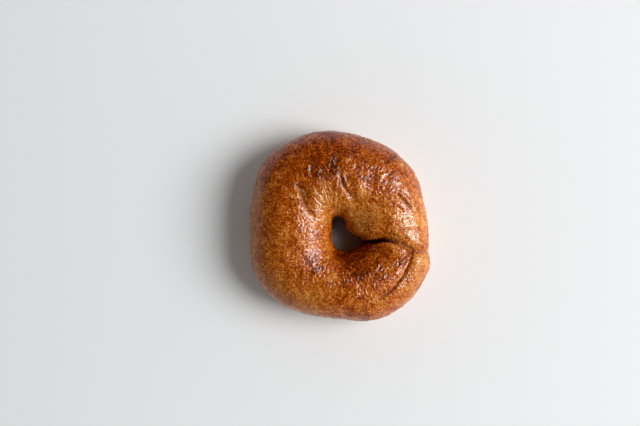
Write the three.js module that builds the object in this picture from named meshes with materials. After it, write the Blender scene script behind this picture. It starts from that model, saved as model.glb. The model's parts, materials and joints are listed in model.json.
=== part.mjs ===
// A hand-rolled bagel. One rope of dough is closed into a ring with its two ends lapped and pressed
// together, then boiled and baked lying on a flat sheet. It is one solid piece of bread.
//
// Millimetres, +Z up. The longer side lies along Y, and the lapped ends are on the +X side. The ring is
// laid out round the hole's axis, and then moved so that the origin is the middle of its foot.
import * as THREE from "three";

// Driving dimensions.
const rimRadius = 54; // hole's axis to the rim, on average
const holeRadius = 9; // hole's axis to the narrowest part of its wall, on average
const crestHeight = 37; // sheet to the top of the ring, on average
const waistShare = 0.45; // height of the widest part, as a share of the crest's
const footSink = 6; // how far the round underside would reach below the sheet: it is flat there
const footRounding = 2.5; // height over which the underside turns up from the sheet
const topPlumpness = 2.15; // 2 is an elliptical section, and more is squarer
const footPlumpness = 3; // the same, below the waist, where the dough's own weight fills it out

// How the ring varies, as shares of the dimensions above, in even steps anticlockwise from +X.
const rimShape = [
  0.94, 0.96, 1.07, 1.1, 1.15, 1.19, 1.17, 1.04, 0.98, 1.0, 0.96, 0.88, 0.86, 0.94, 0.98, 0.99,
];
const holeShape = [
  1.3, 0.78, 0.68, 0.76, 1.36, 1.4, 0.84, 0.7, 0.64, 0.62, 0.63, 0.72, 0.76, 0.86, 1.01, 1.25,
];
const crestShape = [1.0, 1.02, 1.06, 1.05, 1.02, 0.98, 1.0, 1.02];
const crestLean = [1.5, 2.5, 0.5, -1, -2, -1, 0, 0.5]; // mm that the crest lies outside mid-dough

// Folds in the skin. A path is seen from above, in mm from the hole's axis, and its depths are spread
// evenly along it. A fold over the rim or the hole's wall runs on down that side.
const folds = {
  lappedSeam: {
    path: [[11, -3], [14.4, -2.3], [18, -0.3], [25.3, 1.3], [32.3, -0.6], [41.5, -5.6], [49.5, -7], [56, -7.6]],
    depths: [0.8, 2.2, 3.6, 4, 3.2, 2.6, 1.4, 0.6],
    width: 2.4,
  },
  tailEdge: {
    path: [[41.5, -6], [39.2, -13.4], [35.7, -20.9], [29.4, -28.9], [19, -36.3]],
    depths: [2.6, 2.6, 2.2, 1.4, 0.2],
    width: 2.2,
  },
  topPleat: {
    path: [[-2.5, 41], [2.3, 33.9], [4.6, 28.1], [7.5, 22.5], [8, 14]],
    depths: [0.3, 1.3, 1.8, 1.5, 0.3],
    width: 2.4,
  },
  sidePleat: {
    path: [[-24.5, 33.5], [-20.9, 27.5], [-20, 20.6], [-17.3, 14.3], [-12, 7]],
    depths: [0.6, 1.8, 1.8, 1.4, 0.3],
    width: 2.6,
  },
};

const foldFade = 0.5; // the folds fade out over this much above and below the waist: 1 is the crest

// Mesh sizes.
const slices = 100; // slices round the ring
const topPoints = 28; // points round each slice above the waist
const footPoints = 18; // and below it
const seamTurn = -0.02; // where the seam is, in turns from +X
const seamCrowding = 0.5; // how much closer the slices stand at the seam than on average
const foldSteps = 48; // samples along each fold's path

// Catmull-Rom value of an evenly spaced closed list, at a place in turns.
function around(values, turn) {
  const count = values.length;
  const place = THREE.MathUtils.euclideanModulo(turn, 1) * count;
  const first = Math.floor(place);
  const share = place - first;
  const [before, from, to, after] = [-1, 0, 1, 2].map((k) => values[(first + k + count) % count]);
  const bend = 2 * before - 5 * from + 4 * to - after;
  const twist = 3 * (from - to) + after - before;
  return from + 0.5 * share * (to - before + share * (bend + share * twist));
}

// Linear value of an evenly spaced open list, at a share from 0 to 1.
function along(values, share) {
  const place = share * (values.length - 1);
  const first = Math.min(Math.floor(place), values.length - 2);
  return THREE.MathUtils.lerp(values[first], values[first + 1], place - first);
}

// A fold's samples: points on its smooth path, each with the depth there.
function samplesOf({ path, depths }) {
  const curve = new THREE.SplineCurve(path.map(([x, y]) => new THREE.Vector2(x, y)));
  const points = curve.getPoints(foldSteps);
  return points.map((point, i) => ({ point, depth: along(depths, i / foldSteps) }));
}

const foldSamples = Object.values(folds).map((fold) => ({ width: fold.width, samples: samplesOf(fold) }));

// How far the folds press the skin in at a place seen from above.
function foldDepth(x, y) {
  const place = new THREE.Vector2(x, y);
  let total = 0;
  for (const { width, samples } of foldSamples) {
    const pressed = samples.map(({ point, depth }) => {
      const gap = place.distanceTo(point) / width;
      return depth * Math.exp(-gap * gap);
    });
    total += Math.max(...pressed);
  }
  return total;
}

// |value| to a power, with the sign kept: it squares up a circle into a plump section.
function swell(value, plumpness) {
  return Math.sign(value) * Math.abs(value) ** (2 / plumpness);
}

// The sheet holds the underside flat, and the skin turns up from it in a short curve.
function aboveSheet(height) {
  if (height > footRounding) return height;
  return Math.max(height + footRounding, 0) ** 2 / (4 * footRounding);
}

// The slice at a turn: its hole, rim, crest and waist.
function sliceAt(turn) {
  const crest = crestHeight * around(crestShape, turn);
  return {
    turn,
    hole: holeRadius * around(holeShape, turn),
    rim: rimRadius * around(rimShape, turn),
    crest,
    waist: crest * waistShare,
    lean: around(crestLean, turn),
  };
}

// A skin point of a slice. The angle is 0 at the rim's waist, a quarter turn at the crest and a half
// turn at the hole's waist. The folds press it towards the middle of the dough, and fade out below.
function skinPoint(slice, angle) {
  const middle = (slice.rim + slice.hole) / 2;
  const half = (slice.rim - slice.hole) / 2;
  const up = Math.sin(angle);
  const reach = up > 0 ? slice.crest - slice.waist : slice.waist + footSink;
  const plumpness = up > 0 ? topPlumpness : footPlumpness;
  const lean = slice.lean * Math.max(up, 0) ** 2;
  let out = middle + half * swell(Math.cos(angle), plumpness) + lean;
  let height = slice.waist + reach * swell(up, plumpness);
  const heading = slice.turn * 2 * Math.PI;
  const fade = THREE.MathUtils.smoothstep(up, -foldFade, foldFade);
  const depth = fade * foldDepth(out * Math.cos(heading), out * Math.sin(heading));
  const away = Math.hypot(out - middle, height - slice.waist);
  const kept = 1 - Math.min(depth / away, 0.8);
  out = middle + (out - middle) * kept;
  height = slice.waist + (height - slice.waist) * kept;
  return [out * Math.cos(heading), out * Math.sin(heading), aboveSheet(height)];
}

// Slices crowd towards the seam, where the folds are.
function sliceTurn(index) {
  const share = index / slices;
  return seamTurn + share - (seamCrowding / (2 * Math.PI)) * Math.sin(2 * Math.PI * share);
}

// Half turns above and below the waist, each in its own even steps.
function skinAngle(index) {
  if (index < topPoints) return (Math.PI * index) / topPoints;
  return Math.PI + (Math.PI * (index - topPoints)) / footPoints;
}

// The ring's skin as one closed grid of slices, moved to its own frame.
function bagelGeometry() {
  const ringPoints = topPoints + footPoints;
  const positions = [];
  const faces = [];
  for (let i = 0; i < slices; i++) {
    const slice = sliceAt(sliceTurn(i));
    for (let j = 0; j < ringPoints; j++) {
      positions.push(...skinPoint(slice, skinAngle(j)));
      const corner = (di, dj) => ((i + di) % slices) * ringPoints + ((j + dj) % ringPoints);
      faces.push(corner(0, 0), corner(1, 0), corner(1, 1));
      faces.push(corner(0, 0), corner(1, 1), corner(0, 1));
    }
  }
  const geometry = new THREE.BufferGeometry();
  geometry.setAttribute("position", new THREE.Float32BufferAttribute(positions, 3));
  geometry.setIndex(faces);
  geometry.computeBoundingBox();
  const middle = geometry.boundingBox.getCenter(new THREE.Vector3());
  geometry.translate(-middle.x, -middle.y, 0);
  geometry.computeVertexNormals();
  return geometry;
}

const crust = new THREE.MeshStandardMaterial({ color: 0x9c5a24, roughness: 0.45, metalness: 0 });
const bagel = new THREE.Mesh(bagelGeometry(), crust);
bagel.name = "bagel";

const group = new THREE.Group();
group.add(bagel);

export default group;
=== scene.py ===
import json
import math

import bmesh
import bpy
import numpy as np
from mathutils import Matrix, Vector, kdtree, noise
from mathutils.bvhtree import BVHTree


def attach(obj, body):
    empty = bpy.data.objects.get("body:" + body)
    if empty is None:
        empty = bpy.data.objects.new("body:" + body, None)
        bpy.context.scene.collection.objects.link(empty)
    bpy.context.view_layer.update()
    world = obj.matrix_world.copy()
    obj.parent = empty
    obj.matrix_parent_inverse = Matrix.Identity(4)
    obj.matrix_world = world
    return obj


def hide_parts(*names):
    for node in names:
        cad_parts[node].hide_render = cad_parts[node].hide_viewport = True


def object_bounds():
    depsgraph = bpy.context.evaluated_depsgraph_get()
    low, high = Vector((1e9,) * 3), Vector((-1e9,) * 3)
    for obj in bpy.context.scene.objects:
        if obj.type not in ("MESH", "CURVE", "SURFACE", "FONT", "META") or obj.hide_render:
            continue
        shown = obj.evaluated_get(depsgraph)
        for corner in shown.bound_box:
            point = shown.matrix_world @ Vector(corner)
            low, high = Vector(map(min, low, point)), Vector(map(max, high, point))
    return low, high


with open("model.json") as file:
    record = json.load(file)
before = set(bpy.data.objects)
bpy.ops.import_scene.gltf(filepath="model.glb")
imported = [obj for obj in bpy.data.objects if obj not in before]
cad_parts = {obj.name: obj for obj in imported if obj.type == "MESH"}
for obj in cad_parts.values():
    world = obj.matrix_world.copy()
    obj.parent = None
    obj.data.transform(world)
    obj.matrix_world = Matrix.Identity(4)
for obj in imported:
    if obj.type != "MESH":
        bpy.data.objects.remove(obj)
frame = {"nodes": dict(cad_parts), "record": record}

mm = 0.001
cadLow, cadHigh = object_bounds()
cadMiddle = (cadLow + cadHigh) / 2
draw = np.random.default_rng(7)  # every random draw comes from here, so each run gives the same
noiseMiddle = 0.5  # a noise texture swings about this


# sRGB hex to the linear colour that Blender works in
def toLinear(hexColour):
    parts = [int(hexColour[i:i + 2], 16) / 255 for i in (1, 3, 5)]
    return [p / 12.92 if p <= 0.04045 else ((p + 0.055) / 1.055) ** 2.4 for p in parts] + [1.0]


# adds one node, with its settings and the sockets that feed it
def addNode(tree, kind, settings=None, links=None):
    node = tree.nodes.new(kind)
    for name, value in (settings or {}).items():
        if name == "stops":
            while len(node.color_ramp.elements) < len(value):
                node.color_ramp.elements.new(0.5)
            for element, (place, colour) in zip(node.color_ramp.elements, value):
                element.position = place
                element.color = toLinear(colour)
        elif isinstance(name, int) or name in node.inputs:
            node.inputs[name].default_value = value
        else:
            setattr(node, name, value)
    for name, socket in (links or {}).items():
        tree.links.new(socket, node.inputs[name])
    return node


# adds an object to the scene
def addObject(name, data):
    added = bpy.data.objects.new(name, data)
    bpy.context.scene.collection.objects.link(added)
    return added


# a material and its tree, still empty
def newMaterial(name):
    material = bpy.data.materials.new(name)
    material.use_nodes = True
    material.node_tree.nodes.clear()
    return material, material.node_tree


# a texture's scale for grains of this size, as object coordinates are in metres
def grainScale(sizeMm):
    return 1 / (sizeMm * mm)


# from 0 to 1 as value goes from low to high, with soft ends
def ease(value, low, high):
    share = np.clip((value - low) / (high - low), 0, 1)
    return share * share * (3 - 2 * share)


# the camera looks straight down, from a little to -X and +Y of the bagel's middle
camera = {
    "aboveMm": 1000,
    "seenMm": 371.8,  # what the frame takes in across, at the height of the rim
    "rimMm": 17,  # height of the widest part
    "besideMm": (-11.2, 7.6),  # from the bagel's middle
    "sensorMm": 36,
}


def makeCamera(c):
    data = bpy.data.cameras.new("camera")
    data.sensor_width = c["sensorMm"]
    data.lens = c["sensorMm"] * (c["aboveMm"] - c["rimMm"]) / c["seenMm"]
    seat = addObject("camera", data)
    beside = Vector((*c["besideMm"], c["aboveMm"])) * mm
    seat.location = Vector((cadMiddle.x, cadMiddle.y, cadLow.z)) + beside
    bpy.context.scene.camera = seat
    print("camera: looks down from", c["aboveMm"], "mm")


makeCamera(camera)

# the dough: a fine closed grid laid over the CAD solid, slice by slice round the hole
dough = {
    "slices": 560,
    "sectionPoints": 174,
    "crowdOnTop": 0.42,  # how much closer a section's points stand on top than underneath
    "waistShare": 0.43,  # height of the widest part, as a share of the whole
    "mergeMm": 0.01,  # the CAD solid's corners are one point when they are this close
    "roundings": 2,  # how many times its facets are divided and rounded
    "softenCells": 1.6,  # blurs the CAD solid's facets away
    "softenMiddle": 6,  # and the line that the sections are laid out from
}


# the hole's axis: the middle of where its two stated boxes overlap
def holeAxis():
    boxes = np.array([o["box_m"] for o in frame["record"]["physics"]["openings"]])
    return (boxes[:, 0].max(0) + boxes[:, 1].min(0)) / 2


# the CAD solid with its facets rounded, as a tree that rays can find
def roundedTree(name, d):
    bm = bmesh.new()
    bm.from_mesh(frame["nodes"][name].data)
    bmesh.ops.remove_doubles(bm, verts=bm.verts, dist=d["mergeMm"] * mm)
    data = bpy.data.meshes.new("cage")
    bm.to_mesh(data)
    bm.free()
    cage = addObject("cage", data)
    cage.modifiers.new("rounded", "SUBSURF").levels = d["roundings"]
    tree = BVHTree.FromObject(cage, bpy.context.evaluated_depsgraph_get())
    bpy.data.objects.remove(cage)
    return tree


# blurs a closed grid along the axes given
def soften(grid, cells, axes=(0, 1)):
    for axis in axes:
        count = grid.shape[axis]
        steps = np.minimum(np.arange(count), count - np.arange(count))
        kernel = np.exp(-0.5 * (steps / cells) ** 2)
        shape = [1] * grid.ndim
        shape[axis] = count
        wave = np.fft.fft(kernel / kernel.sum()).reshape(shape)
        grid = np.real(np.fft.ifft(np.fft.fft(grid, axis=axis) * wave, axis=axis))
    return grid


def layGrid(tree, axis, d):
    waist = cadLow.z + d["waistShare"] * (cadHigh.z - cadLow.z)
    turn = np.arange(d["slices"]) / d["slices"] * 2 * math.pi
    outward = np.stack([np.cos(turn), np.sin(turn), 0 * turn], 1)
    start = np.array([axis[0], axis[1], waist])
    away = max(cadHigh - cadLow)

    def ray(point, heading):
        return tree.ray_cast(Vector(point), Vector(heading))[3]

    hole = np.array([ray(start, o) for o in outward])
    rim = away - np.array([ray(start + away * o, -o) for o in outward])
    middle = soften((hole + rim) / 2, d["softenMiddle"], (0,))
    share = np.arange(d["sectionPoints"]) / d["sectionPoints"]
    lift = 2 * math.pi * share + d["crowdOnTop"] * np.cos(2 * math.pi * share)
    up = np.array([0, 0, 1.0])
    aim = np.cos(lift)[None, :, None] * outward[:, None] + np.sin(lift)[None, :, None] * up
    core = start + middle[:, None] * outward
    reach = np.array([[ray(core[i], a) for a in aim[i]] for i in range(d["slices"])])
    skin = core[:, None] + soften(reach, d["softenCells"])[..., None] * aim
    print("dough:", skin.shape[0], "slices of", skin.shape[1], "points")
    return {"skin": skin, "turn": turn, "hole": hole, "rim": rim, "start": start, "waist": waist}


form = layGrid(roundedTree("bagel", dough), holeAxis(), dough)


# how far out the hole's wall and the rim are at a turn
def wallsAt(turn):
    walls = (form["hole"], form["rim"])
    return [np.interp(turn, form["turn"], wall, period=2 * math.pi) for wall in walls]


# places on top of the ring are (degrees anticlockwise from +X, share across): 0 at the hole's
# wall and 1 at the rim
def placeOf(degrees, across):
    turn = np.radians(degrees) % (2 * math.pi)
    hole, rim = wallsAt(turn)
    out = hole + across * (rim - hole)
    return form["start"][:2] + out * np.array([math.cos(turn), math.sin(turn)])


# a smooth line through places, sampled every so often
def routeOf(places, everyMm=0.3, fewest=4):
    knots = np.array([placeOf(*p) for p in places])
    knots = np.vstack([2 * knots[0] - knots[1], knots, 2 * knots[-1] - knots[-2]])
    points = []
    for a, b, c, e in zip(knots, knots[1:], knots[2:], knots[3:]):
        steps = max(int(np.linalg.norm(c - b) / (everyMm * mm)), fewest)
        t = np.linspace(0, 1, steps, endpoint=False)[:, None]
        bend = 2 * a - 5 * b + 4 * c - e
        twist = 3 * (b - c) + e - a
        points.append(b + 0.5 * t * (c - a + t * (bend + t * twist)))
    return np.vstack([*points, knots[-2:-1]])


# outward from the skin at every point, and as long as the patch round it is large
def patchesOf(skin):
    along = np.roll(skin, -1, 0) - np.roll(skin, 1, 0)
    over = np.roll(skin, -1, 1) - np.roll(skin, 1, 1)
    return np.cross(along, over)


def normalsOf(skin):
    patches = patchesOf(skin)
    return patches / np.linalg.norm(patches, axis=2, keepdims=True)


# noise from -1 to 1 over the skin, with grains of this size
def noiseOver(skin, sizeMm, seed, octaves=1):
    fade, finer, seedGap = 0.8, 2.0, 17.3
    spots = skin.reshape(-1, 3) / (sizeMm * mm) + seed * seedGap
    basis = "PERLIN_ORIGINAL"
    values = [noise.fractal(Vector(s), fade, finer, octaves, noise_basis=basis) for s in spots]
    return np.array(values).reshape(skin.shape[:2])


# creases and wrinkles: their depths are spread along the route; lips stand up beside them, on the
# left and on the right of the way they run
creases = {
    "lappedSeam": {
        "route": [
            (-8, -0.04), (-3.6, 0.12), (0.6, 0.33), (-2.5, 0.51),
            (-6.1, 0.66), (-8.4, 0.8), (-7.6, 1.02),
        ],
        "depthMm": [1.6, 2.4, 2.2, 1.5, 1.1, 0.8, 0.2],
        "widthMm": 0.95,
        "lipMm": (0.6, 0.4),
    },
    "tailEdge": {
        "route": [(-8.1, 0.75), (-18.8, 0.71), (-30.3, 0.71), (-44.5, 0.73), (-60.6, 0.75)],
        "depthMm": [0.9, 1.8, 1.6, 1.3, 0.5],
        "widthMm": 0.5,
        "lipMm": (0.4, 0.3),
    },
    "tailBranch": {
        "route": [(-9, 0.74), (-16.6, 0.6), (-20.2, 0.52)],
        "depthMm": [1.2, 1.0, 0.1],
        "widthMm": 0.5,
        "lipMm": (0.3, 0.4),
    },
    "topPleat": {
        "route": [(91, 0.52), (89.3, 0.46), (85.3, 0.37), (79.7, 0.32), (75, 0.29)],
        "depthMm": [0.0, 0.9, 1.4, 1.2, 0.2],
        "widthMm": 0.8,
        "lipMm": (0.5, 0.1),
    },
    "sidePleat": {
        "route": [(127.8, 0.58), (131, 0.48), (134, 0.4), (136.5, 0.33), (139, 0.22)],
        "depthMm": [0.3, 1.0, 1.0, 0.7, 0.0],
        "widthMm": 0.85,
        "lipMm": (0.2, 0.25),
    },
    "sidePleatTop": {
        "route": [(128.5, 0.57), (126, 0.5), (123.5, 0.42)],
        "depthMm": [0.3, 0.8, 0.1],
        "widthMm": 0.7,
        "lipMm": (0.1, 0.1),
    },
    "sideDimple": {
        "route": [(127.5, 0.54), (128.5, 0.47), (131, 0.41)],
        "depthMm": [0.7, 0.7, 0.1],
        "widthMm": 1.6,
        "lipMm": (0.1, 0.1),
    },
    "rightNick": {
        "route": [(38.8, 0.7), (29.2, 0.77), (21.4, 0.83)],
        "depthMm": [1.2, 2.2, 0.8],
        "widthMm": 0.6,
        "lipMm": (0.5, 0.4),
    },
    "rightNickBeside": {
        "route": [(33, 0.62), (27, 0.68), (23, 0.72)],
        "depthMm": [0.2, 1.1, 0.2],
        "widthMm": 0.5,
        "lipMm": (0.2, 0.2),
    },
    "rightLine": {
        "route": [(11.5, 0.45), (10, 0.67), (8.8, 0.95)],
        "depthMm": [0.1, 0.4, 0.2],
        "widthMm": 0.5,
        "lipMm": (0.15, 0.15),
    },
    "lobeNick": {
        "route": [(-39.5, 0.42), (-32.6, 0.39), (-26.3, 0.4)],
        "depthMm": [0.2, 0.5, 0.2],
        "widthMm": 0.6,
        "lipMm": (0.4, 0.4),
    },
    "bandHook": {
        "route": [(105, 0.62), (111.5, 0.62), (113.5, 0.56), (110.5, 0.5)],
        "depthMm": [0.1, 0.7, 0.7, 0.1],
        "widthMm": 0.8,
        "lipMm": (0.1, 0.45),
    },
}

# what all the creases have in common
creaseShape = {
    "reachWidths": 6,  # how far out a crease is worked out, in its own widths
    "steepness": 1.5,  # of its walls: 2 is a bell curve, and less is sharper
    "lipWidths": (2.1, 1.1),  # how far out its lips stand, and how wide they are
    "fadeMm": (-6, 4),  # they fade out over these heights above the waist
    "darkMm": (0.15, 1.75),  # depths at which a crease's painted shade starts and is darkest
    "softenCells": 3,  # they are pressed into the skin as if it were this smooth
}

# the skin is drawn together into fine wrinkles where it turns down into the hole
gather = {
    "fromDegrees": 82,
    "toDegrees": 136,
    "middleDegrees": 100,
    "fan": 0.5,  # how close together they start, against how far they spread
    "strayDegrees": 3,
    "count": 14,
    "across": (0.08, 0.46),  # where they start, and where one of full length ends
    "lengthShare": (0.5, 1.15),
    "startDepthMm": 0.1,
    "depthMm": (0.1, 0.3),
    "widthMm": (0.28, 0.6),
    "lipMm": (0.04, 0.2),
}


def gatherCreases(g):
    stray, middle = g["strayDegrees"], g["middleDegrees"]
    lines = {}
    for k, degrees in enumerate(np.linspace(g["fromDegrees"], g["toDegrees"], g["count"])):
        end = degrees + draw.uniform(-stray, stray)
        start = middle + g["fan"] * (end - middle) + draw.uniform(-stray, stray)
        reach = g["across"][1] * draw.uniform(*g["lengthShare"])
        lines[f"gather{k}"] = {
            "route": [(start, g["across"][0]), (0.5 * (start + end), 0.5 * reach), (end, reach)],
            "depthMm": [g["startDepthMm"], draw.uniform(*g["depthMm"]), 0.0],
            "widthMm": draw.uniform(*g["widthMm"]),
            "lipMm": draw.uniform(*g["lipMm"], 2),
        }
    return lines


# how far the skin is pressed in or stands up, and how much painted shade each crease gets
def pressCreases(skin, lines, s):
    fadeLow, fadeHigh = (form["waist"] + f * mm for f in s["fadeMm"])
    height = ease(skin[..., 2], fadeLow, fadeHigh).ravel()
    lipAt, lipWide = s["lipWidths"]
    darkFrom, darkTo = s["darkMm"]
    flat = skin[..., :2].reshape(-1, 2)
    push = np.zeros(len(flat))
    hollow = np.zeros(len(flat))
    for c in lines.values():
        route = routeOf(c["route"])
        reach = s["reachWidths"] * c["widthMm"] * mm
        inside = (flat > route.min(0) - reach) & (flat < route.max(0) + reach)
        near = np.nonzero(inside.all(1))[0]
        gap = flat[near][:, None] - route
        length = np.linalg.norm(gap, axis=2)
        best = length.argmin(1)
        beside = np.take_along_axis(gap, best[:, None, None], 1)[:, 0]
        ahead = np.gradient(route, axis=0)[best]
        left = ahead[:, 0] * beside[:, 1] - ahead[:, 1] * beside[:, 0] > 0
        share = best / (len(route) - 1)
        depth = np.interp(share, np.linspace(0, 1, len(c["depthMm"])), c["depthMm"])
        wide = length.min(1) / (c["widthMm"] * mm)
        groove = depth * np.exp(-wide ** s["steepness"])
        lip = np.where(left, c["lipMm"][0], c["lipMm"][1]) * depth / max(c["depthMm"])
        raised = lip * np.exp(-((wide - lipAt) / lipWide) ** 2)
        push[near] += (raised - groove) * height[near]
        dark = (groove - darkFrom) / (darkTo - darkFrom)
        hollow[near] = np.maximum(hollow[near], dark * height[near])
    shape = skin.shape[:2]
    return push.reshape(shape) * mm, np.clip(hollow, 0, 1).reshape(shape)


# uneven skin: slow swells, then the small blisters that boiling raises
crustRelief = {
    "layersMm": [(15, 0.5), (6, 0.34), (3.0, 0.14), (1.5, 0.12)],  # size and height of each layer
    "wrinkleMm": (2.2, 0.24),  # the same, for the wrinkles
    "wrinkleShare": 0.22,  # how thin the wrinkles are, against the gaps between them
    "wrinkleSeed": 11,
    "wrinkleOctaves": 2,
    "footMm": (0.5, 5),  # heights above the sheet over which the relief comes in
    "blisters": 4000,
    "blisterRadiusMm": (0.5, 1.1),
    "blisterHeightMm": (0.08, 0.26),
    # swellings: place, radius and height in mm
    "lumps": [
        ((-16, 0.89), 6, 1.1),
        ((62, 0.95), 9, 0.8),
        ((175, 0.35), 10, 0.7),
        ((70, 0.44), 4, 1.1),
        ((104, 0.55), 6, -0.3),
    ],
}


def raiseBlisters(skin, r):
    area = np.linalg.norm(patchesOf(skin), axis=2).ravel()
    spots = skin.reshape(-1, 3)
    tree = kdtree.KDTree(len(spots))
    for k, spot in enumerate(spots):
        tree.insert(spot, k)
    tree.balance()
    raised = np.zeros(len(spots))
    for k in draw.choice(len(spots), r["blisters"], p=area / area.sum()):
        radius = draw.uniform(*r["blisterRadiusMm"]) * mm
        height = draw.uniform(*r["blisterHeightMm"]) * mm
        for _, index, gap in tree.find_range(spots[k], radius):
            raised[index] = max(raised[index], height * (1 - (gap / radius) ** 2) ** 2)
    return raised.reshape(skin.shape[:2])


def shapeCrust(r):
    skin = form["skin"]
    push, hollow = pressCreases(skin, {**creases, **gatherCreases(gather)}, creaseShape)
    skin = skin + push[..., None] * normalsOf(soften(skin, creaseShape["softenCells"]))
    footLow, footHigh = (cadLow.z + f * mm for f in r["footMm"])
    above = ease(skin[..., 2], footLow, footHigh)
    bumps = 0
    for seed, (size, height) in enumerate(r["layersMm"]):
        bumps = bumps + height * mm * noiseOver(skin, size, seed)
    wrinkleSize, wrinkleHeight = r["wrinkleMm"]
    ridges = noiseOver(skin, wrinkleSize, r["wrinkleSeed"], r["wrinkleOctaves"])
    wrinkles = np.exp(-(ridges / r["wrinkleShare"]) ** 2)
    bumps = bumps + wrinkleHeight * mm * wrinkles
    for place, radius, height in r["lumps"]:
        gap = np.linalg.norm(skin[..., :2] - placeOf(*place), axis=2)
        bumps = bumps + height * mm * np.exp(-(gap / (radius * mm)) ** 2)
    skin = skin + ((bumps + raiseBlisters(skin, r)) * above)[..., None] * normalsOf(skin)
    skin[..., 2] = np.maximum(skin[..., 2], cadLow.z)
    print("crust: creases", len(creases), "gathers", gather["count"], "blisters", r["blisters"])
    return skin, hollow


skin, hollow = shapeCrust(crustRelief)

# how far each part of the crust is baked, from 0, pale, to 1, nearly burnt, and how olive it is,
# with painted shade and painted highlights mixed in
bakingAndPaintedLight = {
    "even": 0.59,
    "topHeights": (0.3, 0.7),  # the top begins between these shares of the height
    "holeWall": -0.2,  # paler towards the hole
    "wallAcross": (0.35, 0.0),
    "throatShade": 0.62,  # painted shade on the hole's wall, down where little light comes
    "throatAcross": (0.14, 0.02),
    "throatHeights": (0.35, 0.75),
    "flank": -0.24,  # paler below the top, all round
    "flankOlive": 0.42,
    "base": -0.1,
    "baseHeights": (0, 0.03),
    # place, radius in mm, browner, more olive
    "spots": [
        ((100, 0.85), 17, 0.28, 0),
        ((80, 0.87), 7, 0.14, 0),
        # painted highlight: paler where the glossy crust catches the light
        ((99, 0.7), 4, -0.2, 0),
        ((104, 0.55), 8, 0.3, 0),
        ((96, 0.5), 3, 0.12, 0),
        ((130, 0.85), 14, 0.16, 0),
        # painted highlight: paler where the glossy crust catches the light
        ((131, 0.77), 4, -0.25, 0),
        ((70, 0.75), 10, 0.10, 0),
        ((57, 0.91), 4.5, 0.3, 0),
        ((62, 0.73), 4, 0.12, 0),
        ((64, 0.56), 4, 0.1, 0),
        ((93, 0.62), 3.5, 0.22, 0),
        ((45, 0.7), 5, 0.1, 0),
        ((160, 0.8), 12, 0.06, 0.1),
        ((-142, 0.93), 15, -0.06, 0.45),
        ((-110, 0.9), 12, -0.05, 0.3),
        # painted highlight: paler where the glossy crust catches the light
        ((-120, 0.7), 5, -0.25, 0.1),
        # painted highlight: paler where the glossy crust catches the light
        ((-100, 0.4), 4, -0.25, 0),
        ((-75, 0.96), 7, 0.2, 0),
        ((-95, 0.96), 5, 0.14, 0),
        ((-88, 0.6), 4, 0.12, 0),
        # painted highlight: paler where the glossy crust catches the light
        ((6, 0.58), 7, -0.26, 0),
        ((-72, 0.06), 5, 0.5, 0),
        ((-16, 0.1), 4, 0.4, 0),
        ((-62, 0.24), 8, 0.26, 0),
        ((-78, 0.3), 6, 0.08, 0),
        ((-50, 0.1), 6, 0.14, 0),
        ((-50, 0.5), 6, 0.08, 0),
        ((-40, 0.38), 7, 0.2, 0),
        ((-20, 0.57), 4, 0.26, 0),
        ((-16, 0.66), 4, 0.1, 0),
        # painted highlight: paler where the glossy crust catches the light
        ((-21, 0.4), 3.5, -0.1, 0),
        ((-40, 0.7), 5, 0.1, 0),
        ((-142, 0.38), 8, 0.16, 0),
        ((-122, 0.4), 6, 0.14, 0),
        # painted shade: darker where the hole's top right edge turns into shade
        ((62, 0.05), 3.5, 0.4, 0),
        ((-35, 0.9), 10, -0.2, 0.1),
        ((-62, 0.78), 8, -0.14, 0.1),
        ((45, 0.2), 8, -0.16, 0.5),
        # painted highlight: paler where the glossy crust catches the light
        ((36, 0.42), 6, -0.18, 0),
        # painted highlight: paler where the glossy crust catches the light
        ((65, 0.42), 3.5, -0.4, 0),
        # painted highlight: paler where the glossy crust catches the light
        ((81, 0.56), 3, -0.2, 0),
        ((80, 0.26), 3, 0.14, 0),
        ((108, 0.25), 11, -0.24, 0.3),
        ((120, 0.42), 5, 0.18, 0),
        ((134, 0.58), 3, -0.2, 0),
        ((128.3, 0.47), 3.2, -0.04, 0.45),
        # paler towards the right rim: partly paler crust, partly a painted sheen
        ((20, 0.85), 15, -0.14, 0),
        ((12, 0.93), 9, -0.18, 0),
        ((42, 0.8), 10, -0.08, 0),
        # painted sheen: paler on the tip of the tucked-in end
        ((-15, 0.87), 6, -0.45, 0.1),
        ((178, 0.25), 11, -0.1, 0),
        ((180, 0.06), 8, 0.12, 0),
        ((145, 0.1), 6, 0.14, 0),
        ((180, 0.95), 10, -0.04, 0.35),
        ((155, 0.96), 9, -0.04, 0.3),
        ((-158, 0.96), 9, 0, 0.3),
        ((205, 0.3), 6, -0.06, 0),
    ],
}


def bakeAndPaintLightOver(skin, b):
    flat = skin[..., :2] - form["start"][:2]
    turn = np.arctan2(flat[..., 1], flat[..., 0]) % (2 * math.pi)
    hole, rim = wallsAt(turn)
    across = (np.linalg.norm(flat, axis=2) - hole) / (rim - hole)
    height = (skin[..., 2] - cadLow.z) / (cadHigh.z - cadLow.z)
    top = ease(height, *b["topHeights"])
    brown = b["even"] + b["holeWall"] * ease(across, *b["wallAcross"]) + b["flank"] * (1 - top)
    # painted shade, low down the hole's wall
    throatShade = b["throatShade"] * ease(across, *b["throatAcross"])
    brown += throatShade * (1 - ease(height, *b["throatHeights"]))
    brown += b["base"] * (1 - ease(height, *b["baseHeights"]))
    olive = b["flankOlive"] * (1 - top)
    for place, radius, browner, greener in b["spots"]:
        gap = np.linalg.norm(skin[..., :2] - placeOf(*place), axis=2)
        weight = np.exp(-(gap / (radius * mm)) ** 2) * top
        brown += browner * weight
        olive += greener * weight
    print("baking:", len(b["spots"]), "browner and paler patches")
    return brown, np.clip(olive, 0, 1)


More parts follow.
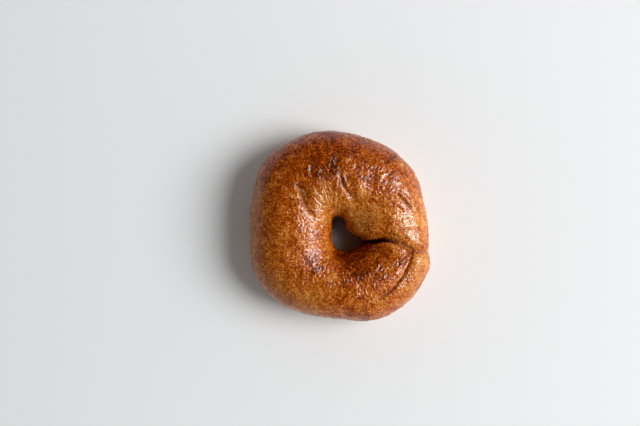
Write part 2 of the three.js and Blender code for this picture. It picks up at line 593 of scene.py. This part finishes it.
def makePiece(name, skin, marks):
    slices, points = skin.shape[:2]
    i, j = np.meshgrid(np.arange(slices), np.arange(points), indexing="ij")
    steps = ((0, 0), (1, 0), (1, 1), (0, 1))
    corners = [((i + di) % slices) * points + (j + dj) % points for di, dj in steps]
    data = bpy.data.meshes.new(name)
    faces = np.stack(corners, 2).reshape(-1, 4)
    data.from_pydata(skin.reshape(-1, 3).tolist(), [], faces.tolist())
    data.polygons.foreach_set("use_smooth", [True] * len(data.polygons))
    for mark, values in marks.items():
        layer = data.attributes.new(mark, "FLOAT", "POINT")
        layer.data.foreach_set("value", values.astype(np.float32).ravel())
    piece = addObject(name, data)
    print("piece:", name, "with", 2 * len(data.polygons), "triangles")
    return piece


brown, olive = bakeAndPaintLightOver(form["skin"], bakingAndPaintedLight)
bagel = makePiece("bagel_crust", skin, {"brown": brown, "olive": olive, "hollow": hollow})

# boiled and baked wheat crust: boiling gels the starch into a thin, glossy, finely blistered
# skin, which baking then browns unevenly
crust = {
    # from barely coloured to nearly burnt
    "tones": [
        (0.0, "#dd9a56"), (0.25, "#cb762c"), (0.45, "#b75a15"),
        (0.65, "#973d0c"), (0.85, "#742e08"), (1.0, "#4e1d05"),
    ],
    "olive": "#8f7030",
    "oliveShare": 0.6,
    "creaseShade": "#4a2410",  # painted shade: multiplies the tone down in the creases
    # blotches of three sizes in mm, each with how far it swings the baking; tiny blisters are
    # nearer 0.5 mm, and the specks are drawn coarser, so that they show
    "blotches": {"speck": (0.85, 1.4), "mottle": (2.6, 0.8), "patch": (6.5, 0.85)},
    "blotchLayers": (2.0, 0.6),  # how many finer layers each has, and how strong they are
    "branMm": 1.8,  # spacing of the bran's dark flecks, drawn coarser too
    "bran": "#5c2606",
    "branShare": 0.45,
    "branEdge": (0.14, 0.34),  # where a fleck starts to fade and ends, in shares of their spacing
    "roughness": (0.12, 0.24),  # of the glossier and the duller patches
    "patchSpan": (0.35, 0.65),  # values of the patch noise that these belong to
    "creaseDuller": 0.5,  # creases keep less of the shine
    "ior": 1.36,  # between water's and dry starch's
    "gloss": 0.5,
    "skinGloss": 0.12,  # the starch film over the crust
    "skinRoughness": 0.3,
    "squiggleMm": 2.2,  # the skin's fine puckers, paler on top: partly their own colour, partly a painted highlight
    "squiggleLayers": (1.0, 0.5),
    "squiggleThin": 0.07,  # the smaller, the thinner
    "squigglePaleAndHighlight": 0.33,
    "squiggleHigher": 0.15,  # against the grain's own height
    "grainMm": 0.95,  # the tiny blisters' bumps, drawn coarser too
    "grainLayers": (2.0, 0.5),
    "grainHeightMm": 0.3,
}


def makeCrust(c):
    material, tree = newMaterial("boiledAndBakedCrust")
    spot = addNode(tree, "ShaderNodeTexCoord").outputs["Object"]
    marks = {
        name: addNode(tree, "ShaderNodeAttribute", {"attribute_name": name}).outputs["Fac"]
        for name in ("brown", "olive", "hollow")
    }
    # the baking, with its painted shade and painted highlights
    baked = marks["brown"]
    fields = {}
    layers, strength = c["blotchLayers"]
    for name, (size, share) in c["blotches"].items():
        fields[name] = addNode(
            tree, "ShaderNodeTexNoise",
            {"Scale": grainScale(size), "Detail": layers, "Roughness": strength}, {"Vector": spot},
        )
        swing = addNode(
            tree, "ShaderNodeMath", {"operation": "MULTIPLY_ADD", 1: share},
            {0: fields[name].outputs["Fac"], 2: baked},
        )
        level = addNode(
            tree, "ShaderNodeMath", {"operation": "SUBTRACT", 1: noiseMiddle * share},
            {0: swing.outputs[0]},
        )
        baked = level.outputs[0]
    layers, strength = c["squiggleLayers"]
    folds = addNode(
        tree, "ShaderNodeTexNoise",
        {"Scale": grainScale(c["squiggleMm"]), "Detail": layers, "Roughness": strength},
        {"Vector": spot},
    )
    offMiddle = addNode(
        tree, "ShaderNodeMath", {"operation": "SUBTRACT", 1: noiseMiddle},
        {0: folds.outputs["Fac"]},
    )
    gap = addNode(tree, "ShaderNodeMath", {"operation": "ABSOLUTE"}, {0: offMiddle.outputs[0]})
    squiggle = addNode(
        tree, "ShaderNodeMapRange",
        {
            "interpolation_type": "SMOOTHSTEP",
            "From Max": c["squiggleThin"], "To Min": 1.0, "To Max": 0.0,
        },
        {"Value": gap.outputs[0]},
    )
    # the puckers' paler tops, partly a painted highlight
    paler = addNode(
        tree, "ShaderNodeMath", {"operation": "MULTIPLY_ADD", 1: -c["squigglePaleAndHighlight"]},
        {0: squiggle.outputs[0], 2: baked},
    )
    tone = addNode(tree, "ShaderNodeValToRGB", {"stops": c["tones"]}, {0: paler.outputs[0]})
    greener = addNode(
        tree, "ShaderNodeMath", {"operation": "MULTIPLY", 1: c["oliveShare"]}, {0: marks["olive"]},
    )
    green = addNode(
        tree, "ShaderNodeMix", {"data_type": "RGBA", 7: toLinear(c["olive"])},
        {0: greener.outputs[0], 6: tone.outputs[0]},
    )
    branCells = addNode(
        tree, "ShaderNodeTexVoronoi", {"Scale": grainScale(c["branMm"])}, {"Vector": spot},
    )
    fleckIn, fleckOut = c["branEdge"]
    fleck = addNode(
        tree, "ShaderNodeMapRange",
        {"From Min": fleckIn, "From Max": fleckOut, "To Min": c["branShare"], "To Max": 0.0},
        {"Value": branCells.outputs["Distance"]},
    )
    flecked = addNode(
        tree, "ShaderNodeMix", {"data_type": "RGBA", 7: toLinear(c["bran"])},
        {0: fleck.outputs[0], 6: green.outputs[2]},
    )
    # painted shade: darker in the creases
    deep = addNode(
        tree, "ShaderNodeMix",
        {"data_type": "RGBA", "blend_type": "MULTIPLY", 7: toLinear(c["creaseShade"])},
        {0: marks["hollow"], 6: flecked.outputs[2]},
    )
    # the patches vary the shine too
    low, high = c["patchSpan"]
    glossy, dull = c["roughness"]
    rough = addNode(
        tree, "ShaderNodeMapRange",
        {"From Min": low, "From Max": high, "To Min": glossy, "To Max": dull},
        {"Value": fields["patch"].outputs["Fac"]},
    )
    dulled = addNode(
        tree, "ShaderNodeMath", {"operation": "MULTIPLY_ADD", 1: c["creaseDuller"]},
        {0: marks["hollow"], 2: rough.outputs[0]},
    )
    layers, strength = c["grainLayers"]
    grain = addNode(
        tree, "ShaderNodeTexNoise",
        {"Scale": grainScale(c["grainMm"]), "Detail": layers, "Roughness": strength},
        {"Vector": spot},
    )
    height = addNode(
        tree, "ShaderNodeMath", {"operation": "MULTIPLY_ADD", 1: c["squiggleHigher"]},
        {0: squiggle.outputs[0], 2: grain.outputs["Fac"]},
    )
    bump = addNode(
        tree, "ShaderNodeBump", {"Strength": 1.0, "Distance": c["grainHeightMm"] * mm},
        {"Height": height.outputs[0]},
    )
    shader = addNode(
        tree, "ShaderNodeBsdfPrincipled",
        {
            "IOR": c["ior"], "Specular IOR Level": c["gloss"],
            "Coat Weight": c["skinGloss"], "Coat Roughness": c["skinRoughness"],
        },
        {"Base Color": deep.outputs[2], "Roughness": dulled.outputs[0], "Normal": bump.outputs[0]},
    )
    addNode(tree, "ShaderNodeOutputMaterial", {}, {"Surface": shader.outputs[0]})
    print("material:", material.name)
    return material


bagel.data.materials.append(makeCrust(crust))
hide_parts("bagel")
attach(bagel, "root")

# the studio: pale paper with painted light graded across it, a large soft light from the right and
# a pale room all round
studio = {
    "paperM": 40,  # across, so that its edges are out of sight from the side
    "paper": ("#e0e2e3", "#fafbfc"),  # painted light: darker away from the light, lighter towards it
    "paperRoughness": 0.9,
    "paperGloss": 0.2,
    "paintedLightGradeMm": 372,  # how far across it goes from one to the other
    "keyElevation": 43,  # degrees above the paper
    "keyTurn": 0,  # degrees anticlockwise from +X
    "keyWide": 38,  # degrees across, which sets how soft the shadow is
    "keyStrength": 3.0,
    # how bright the room is, from level with the paper up to overhead, as shares of roomStrength
    "room": [
        (0.0, "#d6d6d6"), (0.1, "#d4d4d4"), (0.32, "#cacaca"),
        (0.45, "#808080"), (0.76, "#808080"), (0.88, "#181818"),
    ],
    "roomStrength": 0.9,  # away from the key
    "roomStrengthByKey": 1.7,  # and on its side
    "sparkWide": 18,  # the middle of the key, which gives the crisp glints
    "sparkStrength": 4.6,
    "blackLevel": 0.004,  # deepens the darkest tones, as a contrasty print does
}


# seamless background paper: uncoated and rolled smooth, so it is matt; its tone is graded across
# as painted light
def makePaper(s):
    bpy.ops.mesh.primitive_plane_add(size=s["paperM"], location=(0, 0, cadLow.z))
    floor = bpy.context.object
    floor.name = "paper"
    material, tree = newMaterial("seamlessPaper")
    spot = addNode(tree, "ShaderNodeTexCoord").outputs["Object"]
    across = addNode(tree, "ShaderNodeSeparateXYZ", {}, {0: spot})
    # painted light: the paper is darker away from the key
    left = cadMiddle.x + (camera["besideMm"][0] - s["paintedLightGradeMm"] / 2) * mm
    share = addNode(
        tree, "ShaderNodeMapRange", {"From Min": left, "From Max": left + s["paintedLightGradeMm"] * mm},
        {"Value": across.outputs["X"]},
    )
    paperPaintedShade, paperPaintedLight = (toLinear(colour) for colour in s["paper"])
    tone = addNode(
        tree, "ShaderNodeMix", {"data_type": "RGBA", 6: paperPaintedShade, 7: paperPaintedLight},
        {0: share.outputs[0]},
    )
    shader = addNode(
        tree, "ShaderNodeBsdfPrincipled",
        {"Roughness": s["paperRoughness"], "Specular IOR Level": s["paperGloss"]},
        {"Base Color": tone.outputs[2]},
    )
    addNode(tree, "ShaderNodeOutputMaterial", {}, {"Surface": shader.outputs[0]})
    floor.data.materials.append(material)
    print("studio: paper", s["paperM"], "m across")


def makeSun(name, elevation, turn, wide, strength):
    lamp = bpy.data.lights.new(name, "SUN")
    lamp.angle = math.radians(wide)
    lamp.energy = strength
    sun = addObject(name, lamp)
    lift, turn = math.radians(elevation), math.radians(turn)
    out = math.cos(lift)
    towards = Vector((out * math.cos(turn), out * math.sin(turn), math.sin(lift)))
    sun.rotation_mode = "QUATERNION"
    sun.rotation_quaternion = towards.to_track_quat("Z", "Y")
    return sun


def makeLight(s):
    makeSun("key", s["keyElevation"], s["keyTurn"], s["keyWide"], s["keyStrength"])
    spark = makeSun("spark", s["keyElevation"], s["keyTurn"], s["sparkWide"], s["sparkStrength"])
    spark.visible_diffuse = False  # it is there for the sheen, and the key for the light
    world = bpy.data.worlds.new("room")
    world.use_nodes = True
    world.cycles_visibility.glossy = False  # it lifts the shadows without any shine of its own
    bpy.context.scene.world = world
    tree = world.node_tree
    tree.nodes.clear()
    aim = addNode(tree, "ShaderNodeTexCoord").outputs["Generated"]
    split = addNode(tree, "ShaderNodeSeparateXYZ", {}, {0: aim})
    level = addNode(tree, "ShaderNodeValToRGB", {"stops": s["room"]}, {0: split.outputs["Z"]})
    side = addNode(
        tree, "ShaderNodeMapRange",
        {
            "From Min": -1.0, "From Max": 1.0,
            "To Min": s["roomStrength"], "To Max": s["roomStrengthByKey"],
        },
        {"Value": split.outputs["X"]},
    )
    glow = addNode(
        tree, "ShaderNodeBackground", {},
        {"Color": level.outputs[0], "Strength": side.outputs[0]},
    )
    addNode(tree, "ShaderNodeOutputWorld", {}, {"Surface": glow.outputs[0]})
    print("studio: key at", s["keyElevation"], "degrees, with a spark and the room")


makePaper(studio)
makeLight(studio)
look = bpy.context.scene.view_settings
look.view_transform = "Standard"
look.use_curve_mapping = True
look.curve_mapping.black_level = [studio["blackLevel"]] * 3
look.curve_mapping.update()
